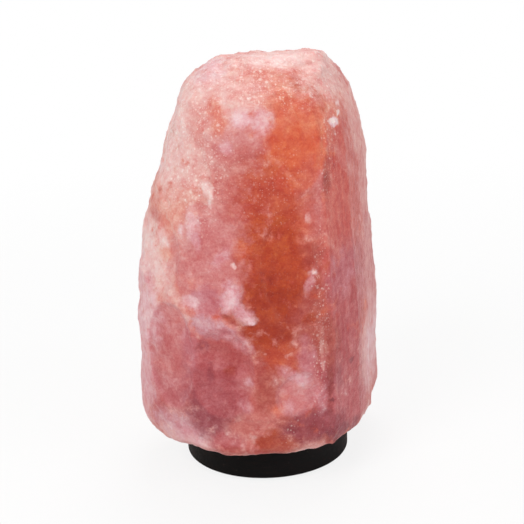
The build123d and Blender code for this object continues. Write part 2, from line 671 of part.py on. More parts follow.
nodes = {
    "salt_crystal": salt_crystal(),
    "wooden_base": wooden_base(),
    "base_screws": base_screws(),
    "rubber_feet": rubber_feet(),
    "holder_plate": holder_plate(),
    "holder_sleeve": holder_sleeve(),
    "ring_nut": ring_nut(),
    "terminal_cap": terminal_cap(),
    "cap_screws": cap_screws(),
    "cord_bush": cord_bush(),
    "contact_carrier": contact_carrier(),
    "screw_shell": screw_shell(),
    "centre_contact": centre_contact(),
    "contact_rivets": contact_rivets(),
    "terminal_blocks": terminal_blocks(),
    "terminal_screws": terminal_screws(),
    "bulb_cap": bulb_cap(),
    "bulb_insulator": bulb_insulator(),
    "bulb_tip": bulb_tip(),
    "bulb_glass": bulb_glass(),
    "bulb_stem": bulb_stem(),
    "bulb_leads": bulb_leads(),
    "bulb_filament": bulb_filament(),
}
clips = around(spring_clip(), CLIP_COUNT, CLIP_FIRST_ANGLE, 0)
rivets = around(clip_rivet(), CLIP_COUNT, CLIP_FIRST_ANGLE, 0)
for number, (clip, rivet) in enumerate(zip(clips, rivets), start=1):
    nodes[f"spring_clip_{number}"] = clip
    nodes[f"clip_rivet_{number}"] = rivet

os.makedirs("parts", exist_ok=True)
for name, shape in nodes.items():
    export_step(Compound(children=solids_in(shape)), f"parts/{name}.step")
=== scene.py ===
import json
import math

import bmesh
import bpy
import numpy as np
from mathutils import Matrix, Vector, noise


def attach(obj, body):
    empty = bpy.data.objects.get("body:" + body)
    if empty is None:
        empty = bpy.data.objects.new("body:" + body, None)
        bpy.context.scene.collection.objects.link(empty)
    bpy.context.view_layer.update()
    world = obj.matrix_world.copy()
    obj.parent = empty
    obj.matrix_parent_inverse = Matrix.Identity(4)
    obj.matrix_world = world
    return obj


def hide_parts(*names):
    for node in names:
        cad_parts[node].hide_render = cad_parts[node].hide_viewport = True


# A lump of pink rock salt on a round black wooden base. Metres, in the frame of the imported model:
# +Z up, the front faces -Y. Sizes whose names end in _MM are millimetres.

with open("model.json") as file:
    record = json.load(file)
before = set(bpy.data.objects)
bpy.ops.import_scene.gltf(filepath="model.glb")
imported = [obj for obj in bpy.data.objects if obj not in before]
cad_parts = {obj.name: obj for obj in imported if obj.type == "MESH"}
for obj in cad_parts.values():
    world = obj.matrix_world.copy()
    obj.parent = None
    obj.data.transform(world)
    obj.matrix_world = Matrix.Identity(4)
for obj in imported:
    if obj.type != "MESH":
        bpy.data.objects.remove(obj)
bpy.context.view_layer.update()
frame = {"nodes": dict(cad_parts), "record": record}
nodes = frame["nodes"]
MM = 0.001


# ---- Camera, world, floor and lamps ----

CAMERA_LENS = 85.0
CAMERA_SENSOR = 36.0
CAMERA_TARGET = Vector((0.0005, 0.0, 0.121))
CAMERA_DISTANCE = 0.745
CAMERA_ELEVATION = math.radians(17.1)
CAMERA_ROLL = math.radians(2.1)

WORLD_LIGHT = 0.45
FLOOR_COLOUR = (0.88, 0.875, 0.87, 1.0)
FLOOR_SIZE = 12.0
# The share of the floor that the camera sees, from under the object to where it has faded away.
FLOOR_SHOWN = 0.16
FLOOR_FADE_START = 0.15
FLOOR_FADE_END = 0.9

# name: (place, target, width, power in watts, colour)
LAMPS = {
    "key": ((-0.75, -1.05, 1.15), (0, 0, 0.13), 0.8, 12.0, (1.0, 0.985, 0.97)),
    "fill": ((1.15, -0.85, 0.55), (0, 0, 0.12), 0.9, 5.6, (0.99, 0.985, 1.0)),
    "top": ((0.15, 0.55, 1.35), (0, 0, 0.2), 0.8, 6.4, (1.0, 1.0, 1.0)),
}


def add_camera():
    camera = bpy.data.cameras.new("camera")
    camera.lens = CAMERA_LENS
    camera.sensor_width = CAMERA_SENSOR
    camera.clip_start = 0.01
    holder = bpy.data.objects.new("camera", camera)
    bpy.context.scene.collection.objects.link(holder)
    right = Vector((1, 0, 0))
    up = Vector((0, math.sin(CAMERA_ELEVATION), math.cos(CAMERA_ELEVATION)))
    back = Vector((0, -math.cos(CAMERA_ELEVATION), math.sin(CAMERA_ELEVATION)))
    axis_x = right * math.cos(CAMERA_ROLL) - up * math.sin(CAMERA_ROLL)
    axis_y = right * math.sin(CAMERA_ROLL) + up * math.cos(CAMERA_ROLL)
    turn = Matrix((axis_x, axis_y, back)).transposed().to_4x4()
    holder.matrix_world = Matrix.Translation(CAMERA_TARGET + back * CAMERA_DISTANCE) @ turn
    bpy.context.scene.camera = holder


def add_world():
    """White behind the object and in its reflections, soft pale light everywhere else."""
    world = bpy.data.worlds.new("studio")
    world.use_nodes = True
    bpy.context.scene.world = world
    graph = Graph(world.node_tree)
    soft = graph.add("ShaderNodeBackground", Color=(1, 1, 1, 1), Strength=WORLD_LIGHT)
    white = graph.add("ShaderNodeBackground", Color=(1, 1, 1, 1), Strength=1.0)
    path = graph.add("ShaderNodeLightPath")
    seen = graph.math("MAXIMUM", path.outputs["Is Camera Ray"], path.outputs["Is Glossy Ray"])
    seen = graph.math("MAXIMUM", seen, path.outputs["Is Transmission Ray"])
    graph.output("ShaderNodeOutputWorld", graph.mix_shader(seen, soft, white))


def add_floor():
    """Pale floor. The camera sees it thinly, so that a holder pulled out below it still shows."""
    half = FLOOR_SIZE / 2
    mesh = bpy.data.meshes.new("floor")
    corners = [(-half, -half, 0), (half, -half, 0), (half, half, 0), (-half, half, 0)]
    mesh.from_pydata(corners, [], [(0, 1, 2, 3)])
    floor = bpy.data.objects.new("floor", mesh)
    bpy.context.scene.collection.objects.link(floor)
    material, graph = new_material("floor")
    lit = graph.add("ShaderNodeBsdfDiffuse", Color=FLOOR_COLOUR)
    clear = graph.add("ShaderNodeBsdfTransparent", Color=(1, 1, 1, 1))
    distance = graph.vector("LENGTH", graph.add("ShaderNodeTexCoord").outputs["Object"])
    unseen = graph.ramp(distance, FLOOR_FADE_START, FLOOR_FADE_END, 1 - FLOOR_SHOWN, 1.0)
    path = graph.add("ShaderNodeLightPath")
    thin = graph.math("MULTIPLY", path.outputs["Is Camera Ray"], unseen)
    graph.output("ShaderNodeOutputMaterial", graph.mix_shader(thin, lit, clear))
    mesh.materials.append(material)


def add_lamps():
    for name, (place, target, width, power, colour) in LAMPS.items():
        lamp = bpy.data.lights.new(name, "AREA")
        lamp.shape = "DISK"
        lamp.size = width
        lamp.energy = power
        lamp.color = colour
        holder = bpy.data.objects.new(name, lamp)
        holder.location = place
        holder.rotation_euler = (Vector(target) - Vector(place)).to_track_quat("-Z", "Y").to_euler()
        bpy.context.scene.collection.objects.link(holder)


# ---- Node graphs ----

# How much of a pattern's swing the red, green and blue take, so that dark salt stays warm.
TINT_SHARES = (0.55, 1.05, 1.0)
# Most of a noise's values lie between these.
MOST_NOISE = (0.3, 0.7)


class Graph:
    """Short ways to add and join shader nodes. A value may be a number, a colour or a socket."""

    def __init__(self, tree):
        self.tree = tree
        tree.nodes.clear()

    def put(self, socket, value):
        if isinstance(value, bpy.types.Node):
            value = value.outputs[0]
        if isinstance(value, bpy.types.NodeSocket):
            self.tree.links.new(value, socket)
        else:
            socket.default_value = value

    def add(self, kind, settings=None, **values):
        node = self.tree.nodes.new(kind)
        for name, value in (settings or {}).items():
            setattr(node, name, value)
        for name, value in values.items():
            self.put(node.inputs[name.replace("_", " ")], value)
        return node

    def math(self, operation, a, b):
        node = self.add("ShaderNodeMath", {"operation": operation})
        self.put(node.inputs[0], a)
        self.put(node.inputs[1], b)
        return node.outputs[0]

    def vector(self, operation, a, b=None, scale=None):
        node = self.add("ShaderNodeVectorMath", {"operation": operation})
        self.put(node.inputs[0], a)
        if b is not None:
            self.put(node.inputs[1], b)
        if scale is not None:
            self.put(node.inputs["Scale"], scale)
        return node.outputs["Value"] if operation == "LENGTH" else node.outputs["Vector"]

    def noise(self, place, size, detail=2.0, roughness=0.5, output="Fac"):
        """Noise whose patches are about a size wide, in the units of the place."""
        node = self.add("ShaderNodeTexNoise", Vector=place, Scale=1 / size, Detail=detail,
                        Roughness=roughness)
        return node.outputs[output]

    def ramp(self, factor, low, high, to_low=0.0, to_high=1.0, kind="SMOOTHSTEP"):
        """Goes from one end value to the other while the factor goes from low to high."""
        node = self.add("ShaderNodeMapRange", {"interpolation_type": kind})
        for name, value in (("Value", factor), ("From Min", low), ("From Max", high),
                            ("To Min", to_low), ("To Max", to_high)):
            self.put(node.inputs[name], value)
        return node.outputs[0]

    def mix(self, factor, a, b, blend="MIX"):
        node = self.add("ShaderNodeMix", {"data_type": "RGBA", "blend_type": blend})
        self.put(node.inputs[0], factor)
        self.put(node.inputs[6], a)
        self.put(node.inputs[7], b)
        return node.outputs[2]

    def mix_shader(self, factor, a, b):
        node = self.add("ShaderNodeMixShader")
        self.put(node.inputs[0], factor)
        self.put(node.inputs[1], a)
        self.put(node.inputs[2], b)
        return node

    def place_mm(self):
        """The point's place in millimetres."""
        return self.vector("SCALE", self.add("ShaderNodeTexCoord").outputs["Object"], scale=1 / MM)

    def stretched(self, place, stretch):
        """The place squeezed along each axis: a pattern on it is drawn out that many times."""
        return self.vector("DIVIDE", place, stretch)

    def warped(self, place, warps):
        """The place pushed about by one noise after another, each given by its size and reach."""
        for size, reach in warps:
            shift = self.noise(place, size, output="Color")
            shift = self.vector("SUBTRACT", shift, (0.5, 0.5, 0.5))
            place = self.vector("ADD", place, self.vector("SCALE", shift, scale=2 * reach))
        return place

    def oval(self, place, centre, reach, tilt, softness, strength, wisps):
        """Share of a soft-edged oval, tilted in the front view by degrees. Wisps eat at its edge."""
        ball = self.add("ShaderNodeTexGradient", {"gradient_type": "SPHERICAL"}, Vector=place)
        fit = ball.texture_mapping
        fit.vector_type = "TEXTURE"
        fit.translation = centre
        fit.rotation = (0, math.radians(tilt), 0)
        fit.scale = [length * (1 + softness) for length in reach]
        depth = self.math("MULTIPLY", ball.outputs["Fac"], wisps)
        return self.ramp(depth, 0.0, 2 * softness / (1 + softness), 0.0, strength)

    def varied(self, colour, factor, low, high, swing):
        """The colour, from darker to paler as the factor goes from low to high."""
        dark = [0.5 - swing * share for share in TINT_SHARES] + [1.0]
        pale = [0.5 + swing * share for share in TINT_SHARES] + [1.0]
        tint = self.mix(self.ramp(factor, low, high, kind="LINEAR"), dark, pale)
        return self.mix(1.0, colour, tint, "SOFT_LIGHT")

    def bump(self, height, depth_mm, strength):
        return self.add("ShaderNodeBump", Height=height, Distance=depth_mm * MM, Strength=strength)

    def output(self, kind, shader):
        node = self.add(kind)
        self.put(node.inputs["Surface"], shader)

    def surface(self, settings=None, **values):
        """Ends a material with the usual shader."""
        shader = self.add("ShaderNodeBsdfPrincipled", settings, **values)
        self.output("ShaderNodeOutputMaterial", shader)


def new_material(name):
    material = bpy.data.materials.new(name)
    material.use_nodes = True
    return material, Graph(material.node_tree)


def rgb(code):
    """Linear colour from the usual six hexadecimal digits."""
    parts = [int(code[i:i + 2], 16) / 255 for i in (0, 2, 4)]
    linear = [p / 12.92 if p <= 0.04045 else ((p + 0.055) / 1.055) ** 2.4 for p in parts]
    return tuple(linear) + (1.0,)


# ---- Crystal: shape ----

VOXEL_MM = 1.1
MERGE_DISTANCE = 1e-6
# Blender takes the offsets of its noise vectors from the clock unless it is given a seed.
NOISE_SEED = 1

# Measures of the solid crystal that the carved one keeps.
SEAT_MM = 25.0
BASE_RADIUS_MM = 50.0
BORE_RADIUS_MM = 22.0
BORE_TOP_MM = 140.0
CRYSTAL_TOP_MM = 246.0
# Below this height, the bore's wall is brought back to a true cylinder.
BORE_WALL_TOP_MM = BORE_TOP_MM - 5
# Within the base's radius, what is lower than this is the bore's wall or the seat.
INSIDE_TOP_MM = SEAT_MM + 24
# The carving sets in between these distances from the bore and from the seat.
BORE_FADE_MM = (1, 8)
SEAT_FADE_MM = (0, 9)

# Soft hollows (negative) and swellings (positive): place, reach and height, in millimetres.
SWELLINGS = {
    "left_notch": ((-62, -30, 196), 7, -1.0),
    "left_bump_upper": ((-68, -28, 158), 9, 1.0),
    "left_bump_middle": ((-74, -24, 128), 14, 1.0),
    "front_left_foot": ((-50, -48, 28), 16, -1.6),
    "front_right_foot": ((36, -54, 28), 9, -1.8),
    "top_left_slope": ((-24, 4, 246), 13, -1.0),
    "top_slope": ((-4, 18, 246), 17, -2.6),
    "top_back": ((30, 24, 244), 18, -1.5),
}
# Sharp-edged cuts (negative) and ledges (positive): place, reach along X, Y and Z, tilt in the
# front view in degrees, and height.
CUTS = {
    "lower_left": ((-53, -50, 84), (14, 40, 32), 0, -2.6),
    "lower_middle": ((-24, -64, 76), (18, 40, 27), 0, -2.6),
    "left_face": ((-58, -40, 142), (13, 40, 24), 0, -1.6),
    "shoulder": ((-42, -44, 186), (17, 40, 28), -8, -1.5),
    "orange_face": ((22, -50, 203), (17, 40, 28), 6, -1.5),
    "core_face": ((-4, -57, 182), (15, 40, 17), 20, -1.2),
    "deep_face": ((14, -60, 134), (15, 40, 30), -4, -1.6),
    "chin": ((18, -65, 62), (12, 40, 14), 35, -1.8),
    "foot_face": ((-8, -66, 40), (20, 40, 9), 0, -1.0),
    "big_cloud": ((-17, -63, 120), (6, 30, 11), 20, 1.8),
    "big_cloud_foot": ((-10, -65, 110), (8, 30, 4.5), 38, 1.8),
    "wedge": ((-28, -53, 179), (3, 30, 7), -20, 1.0),
    "band": ((-30, -61, 105), (20, 30, 6), 24, 1.1),
    "foot_rim": ((-14, -66, 30), (34, 30, 5), 0, 0.8),
    "back_upper": ((-6, 42, 198), (22, 30, 26), 12, -2.0),
    "back_middle": ((22, 58, 142), (20, 30, 30), -10, -1.8),
    "back_low": ((-22, 60, 84), (24, 30, 28), 14, -2.2),
    "back_right": ((46, 50, 70), (18, 30, 24), -20, -1.8),
    "left_upper": ((-50, 12, 186), (30, 20, 26), 0, -1.8),
    "left_middle": ((-66, 24, 128), (30, 22, 24), 0, -1.6),
    "left_low": ((-68, 6, 72), (30, 22, 28), 0, -2.0),
}
# A cut's height is part bowl and part edge, and the edge ends at this share of its depth.
CUT_BOWL = 0.45
CUT_EDGE = 0.55
CUT_EDGE_DEPTH = 0.22

# Facets and chips are cells. Their outlines are bent by a noise with this size and reach.
FACET_SIZE_MM = 25.0
FACET_HEIGHT_MM = 2.4
FACET_BEND_MM = (14.0, 3.0)
CHIP_SIZE_MM = 9.0
CHIP_HEIGHT_MM = 0.9
CHIP_BEND_MM = (6.0, 1.6)
# A cell's distance is cut off at the cap and squared. The square gives no height where it is at the
# level, and elsewhere it gives a height in proportion to its range.
CELL_CAP = 0.8
CELL_LEVEL = 0.25
CELL_RANGE = 0.64

# Lumps, grains and upright grooves are fractal noise: falloff, frequency ratio and octaves.
LUMP_SIZE_MM = 34.0
LUMP_HEIGHT_MM = 1.1
LUMP_FRACTAL = (0.7, 2.0, 3)
GRAIN_SIZE_MM = 3.6
GRAIN_HEIGHT_MM = 0.3
GRAIN_FRACTAL = (0.6, 2.2, 3)
GROOVE_SIZE_MM = 3.4
GROOVE_LENGTH = 20.0
GROOVE_HEIGHT_MM = 0.12
GROOVE_FRACTAL = (0.8, 2.0, 2)

# The flat right faces turn towards this direction, in plan. They begin where the surface faces it
# this closely, and at this X.
RIGHT_FACE_TURN = Vector((0.80, -0.60, 0.0)).normalized()
RIGHT_FACING = (0.72, 0.92)
RIGHT_FROM_MM = (25, 45)
# The Z between which the rough top sets in, and the Y between which the back does.
ROUGH_TOP_MM = (225, 240)
BEHIND_MM = (-30, 10)
# The share of the lumps that lies on the flat right faces, and of the facets that lies in front.
LUMPS_ON_RIGHT = 0.35
FACETS_IN_FRONT = 0.6
# How much the rough top adds to the height of the chips and of the grains.
ROUGHER_CHIPS = 0.8
ROUGHER_GRAINS = 1.2


def smooth_step(low, high, value):
    t = np.clip((value - low) / (high - low), 0, 1)
    return t * t * (3 - 2 * t)


def remeshed(source, voxel):
    """The node's shape as an even mesh of small squares."""
    mesh = source.data.copy()
    work = bmesh.new()
    work.from_mesh(mesh)
    bmesh.ops.remove_doubles(work, verts=work.verts, dist=MERGE_DISTANCE)
    work.to_mesh(mesh)
    work.free()
    piece = bpy.data.objects.new("remesh", mesh)
    bpy.context.scene.collection.objects.link(piece)
    modifier = piece.modifiers.new("remesh", "REMESH")
    modifier.mode = "VOXEL"
    modifier.voxel_size = voxel
    depsgraph = bpy.context.evaluated_depsgraph_get()
    result = bpy.data.meshes.new_from_object(piece.evaluated_get(depsgraph))
    bpy.data.objects.remove(piece)
    return result


def free_share(points):
    """0 on the bore and on the seat, where the shape is fixed, and 1 on the open surface."""
    radius = np.hypot(points[:, 0], points[:, 1])
    height = points[:, 2]
    beside_bore = np.maximum(radius - BORE_RADIUS_MM, 0)
    from_bore = np.hypot(beside_bore, np.maximum(height - BORE_TOP_MM, 0))
    from_seat = np.hypot(np.maximum(radius - BASE_RADIUS_MM, 0), height - SEAT_MM)
    inside = (radius < BASE_RADIUS_MM) & (height < INSIDE_TOP_MM)
    share = smooth_step(*BORE_FADE_MM, from_bore) * smooth_step(*SEAT_FADE_MM, from_seat)
    share[inside] = 0
    return share


def cut_height(points, centre, reach, tilt, height):
    """Height of a shallow bowl or ledge with a steep edge all round."""
    angle = math.radians(tilt)
    across, along, up = (points - np.array(centre)).T
    turned = (across * math.cos(angle) - up * math.sin(angle), along,
              across * math.sin(angle) + up * math.cos(angle))
    apart = sum((part / length) ** 2 for part, length in zip(turned, reach))
    depth = np.clip(1 - apart, 0, 1)
    return height * (CUT_BOWL * depth + CUT_EDGE * smooth_step(0, CUT_EDGE_DEPTH, depth))


def cell(at, size, bend):
    """Squared distance to the nearest of the points that the cells grow from."""
    bend_size, bend_reach = bend
    bent = at + noise.noise_vector(at / bend_size) * bend_reach
    return min(noise.voronoi(bent / size)[0][0], CELL_CAP) ** 2


def surface_height(points, normals):
    """How far each point of the open surface stands out, in millimetres."""
    noise.seed_set(NOISE_SEED)
    height = np.zeros(len(points))
    facing = normals @ np.array(RIGHT_FACE_TURN)
    right = smooth_step(*RIGHT_FACING, facing) * smooth_step(*RIGHT_FROM_MM, points[:, 0])
    rough_top = smooth_step(*ROUGH_TOP_MM, points[:, 2])
    for place, reach, swell in SWELLINGS.values():
        distance = np.linalg.norm(points - np.array(place), axis=1)
        height += swell * np.exp(-(distance / reach) ** 2)
    for cut in CUTS.values():
        height += cut_height(points, *cut)
    for i, point in enumerate(points):
        at = Vector(point)
        lump = noise.fractal(at / LUMP_SIZE_MM, *LUMP_FRACTAL)
        facet = cell(at, FACET_SIZE_MM, FACET_BEND_MM) - CELL_LEVEL
        chip = cell(at, CHIP_SIZE_MM, CHIP_BEND_MM) - CELL_LEVEL
        grain = noise.fractal(at / GRAIN_SIZE_MM, *GRAIN_FRACTAL)
        drawn_out = Vector((at.x, at.y, at.z / GROOVE_LENGTH))
        groove = noise.fractal(drawn_out / GROOVE_SIZE_MM, *GROOVE_FRACTAL)
        plain = 1 - right[i]
        behind = smooth_step(*BEHIND_MM, at.y)
        lumps = LUMPS_ON_RIGHT + (1 - LUMPS_ON_RIGHT) * plain
        facets = FACETS_IN_FRONT + (1 - FACETS_IN_FRONT) * behind
        chips = 1 + ROUGHER_CHIPS * rough_top[i]
        height[i] += LUMP_HEIGHT_MM * lump * lumps
        height[i] += FACET_HEIGHT_MM * facet * plain * facets / CELL_RANGE
        height[i] += CHIP_HEIGHT_MM * chip * plain * chips / CELL_RANGE
        height[i] += GRAIN_HEIGHT_MM * grain * (1 + ROUGHER_GRAINS * rough_top[i])
        height[i] += GROOVE_HEIGHT_MM * groove * right[i]
    return height


def add_crystal():
    """The carved crystal, in place of the solid one."""
    mesh = remeshed(nodes["salt_crystal"], VOXEL_MM * MM)
    mesh.name = "crystal"
    count = len(mesh.vertices)
    points = np.empty(count * 3)
    normals = np.empty(count * 3)
    mesh.vertices.foreach_get("co", points)
    mesh.vertices.foreach_get("normal", normals)
    points = points.reshape(-1, 3) / MM
    normals = normals.reshape(-1, 3)
    points += normals * (surface_height(points, normals) * free_share(points))[:, None]
    radius = np.hypot(points[:, 0], points[:, 1])
    on_bore = (np.abs(radius - BORE_RADIUS_MM) < VOXEL_MM) & (points[:, 2] < BORE_WALL_TOP_MM)
    points[on_bore, :2] *= (BORE_RADIUS_MM / radius[on_bore])[:, None]
    points[:, 2] = np.clip(points[:, 2], SEAT_MM, CRYSTAL_TOP_MM)
    mesh.vertices.foreach_set("co", (points * MM).ravel())
    mesh.update()
    mesh.shade_smooth()
    mesh.materials.clear()
    mesh.materials.append(salt_material())
    crystal = bpy.data.objects.new("crystal", mesh)
    bpy.context.scene.collection.objects.link(crystal)
    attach(crystal, "lamp")
    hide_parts("salt_crystal")


# ---- Crystal: material ----

# The gloss lays a little white over the salt, so the colour below it is deeper by this much.
GLOSS_WHITE = 0.022

# Faint fibres in the salt slant down to the right.
FIBRE_TILT = (0.0, math.radians(-52), 0.0)
FIBRE_SQUEEZE = (0.35, 1.0, 1.0)

# Patterns over the colours: size in millimetres, detail and roughness of their noise, the noise
# values between which they act, and how far they darken and pale, as a share of full contrast.
CLOUD = ((13.0, 4.0, 0.55), (0.32, 0.68), 0.09)
FIBRE = ((3.4, 4.0, 0.6), MOST_NOISE, 0.09)
MOTTLE = ((3.6, 4.0, 0.65), MOST_NOISE, 0.10)
STREAK = ((2.6, 3.0, 0.6), MOST_NOISE, 0.18)
GRIT = ((1.2, 3.0, 0.7), (0.32, 0.68), 0.13)
# Crystals in the salt: size in millimetres and how far they darken and pale. All have the same soft
# edges, and act between the same values.
FLAKES = ((8.0, 0.08), (3.2, 0.08))
FLAKE_SMOOTHNESS = 0.6
FLAKE_VALUES = (0.25, 0.75)
# Upright streaks lie on the flat right faces, from this X on, and are this many times as long as wide.
STREAK_FROM_MM = (28.0, 42.0)
STREAK_STRETCH = (1, 1, 26)

# What bends the outlines of the patches, the hollows and the clouds: sizes and reaches.
PATCH_WARPS = ((26.0, 4.0), (8.0, 3.0))
HOLLOW_WARPS = ((9.0, 1.0),)
CLOUD_WARPS = ((12.0, 1.6), (4.0, 1.4))
# Wisps that eat at the outlines: their noise, and the depths by which it scales an oval.
WISP_NOISE = (7.0, 5.0, 0.62)
WISP_DEPTHS = (0.30, 1.70)

# Fine bumps: size in millimetres, detail and roughness of both noises, and the share of the finer.
COARSE_BUMPS = (2.4, 4.0, 0.6)
FINE_BUMPS = (0.9, 2.0, 0.5)
FINE_BUMP_SHARE = 0.4

# The salt's colours, from pale to dark.
SALT = {
    "milk": "FBE6DE",
    "pearl": "F0CDC9",
    "lilac": "E9C0C4",
    "petal": "E8B6B0",
    "shell": "DCA4AA",
    "blush": "E2A29A",
    "mauve": "CE9BA2",
    "peach": "E09280",
    "rose": "D18886",
    "orchid": "C77F86",
    "salmon": "DB7D66",
    "clay": "C8716A",
    "coral": "D66546",
    "garnet": "CB675E",
    "dusk": "BC6467",
    "terracotta": "BF5540",
    "brick": "B0574E",
    "ember": "B54A30",
    "rust": "A8422C",
    "wine": "9A4D54",
    "maroon": "8A3A36",
    "plum": "7A3640",
}

# Ground colours on all sides, over clay: whether the noise's place is bent, its shift, its size in
# millimetres, its roughness, and the colours that it brings in, each with the noise values between
# which it comes in and its strength.
GROUND_DETAIL = 3.0
GROUND = {
    "rose": (True, (0, 0, 0), 24.0, 0.55, {"blush": (0.36, 0.64, 1.0)}),
    "pale": (True, (90, 40, -30), 42.0, 0.55, {"petal": (0.50, 0.64, 0.8)}),
    "hearts": (True, (-60, 130, 70), 58.0, 0.5,
               {"coral": (0.52, 0.60, 0.85), "ember": (0.60, 0.70, 0.85)}),
    "clouds": (False, (15, -80, 160), 17.0, 0.6, {"pearl": (0.58, 0.72, 0.75)}),
}

